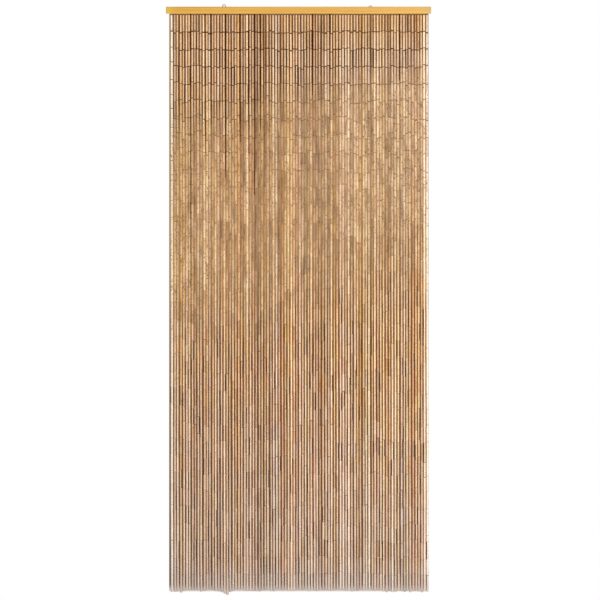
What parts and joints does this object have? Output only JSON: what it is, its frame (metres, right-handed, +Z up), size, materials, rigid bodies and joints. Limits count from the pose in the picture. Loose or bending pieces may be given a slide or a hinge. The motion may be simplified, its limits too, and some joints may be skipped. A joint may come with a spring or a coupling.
{
  "type": "bamboo door curtain",
  "caption": "Door curtain of bamboo tube strands hanging side by side from a varnished wooden batten with two eyelet plates.",
  "frame": {"origin": "middle of the wooden batten's top edge, where the curtain is held up", "axes": "+Z up along the hanging strands, X along the batten, the front faces -Y and the back faces +Y"},
  "size_m": [0.9, 0.0158, 2.0048],
  "materials": {
    "varnished_wood": "satin clear varnish, orange-yellow",
    "bamboo": "natural bamboo skin, satin",
    "zinced_steel": "bright zinc plating"
  },
  "bodies": {
    "root": {"header": "varnished_wood", "hanger_plate_left": "zinced_steel", "hanger_screw_left": "zinced_steel", "hanger_plate_right": "zinced_steel", "hanger_screw_right": "zinced_steel", "strands": "bamboo"}
  },
  "joints": []
}
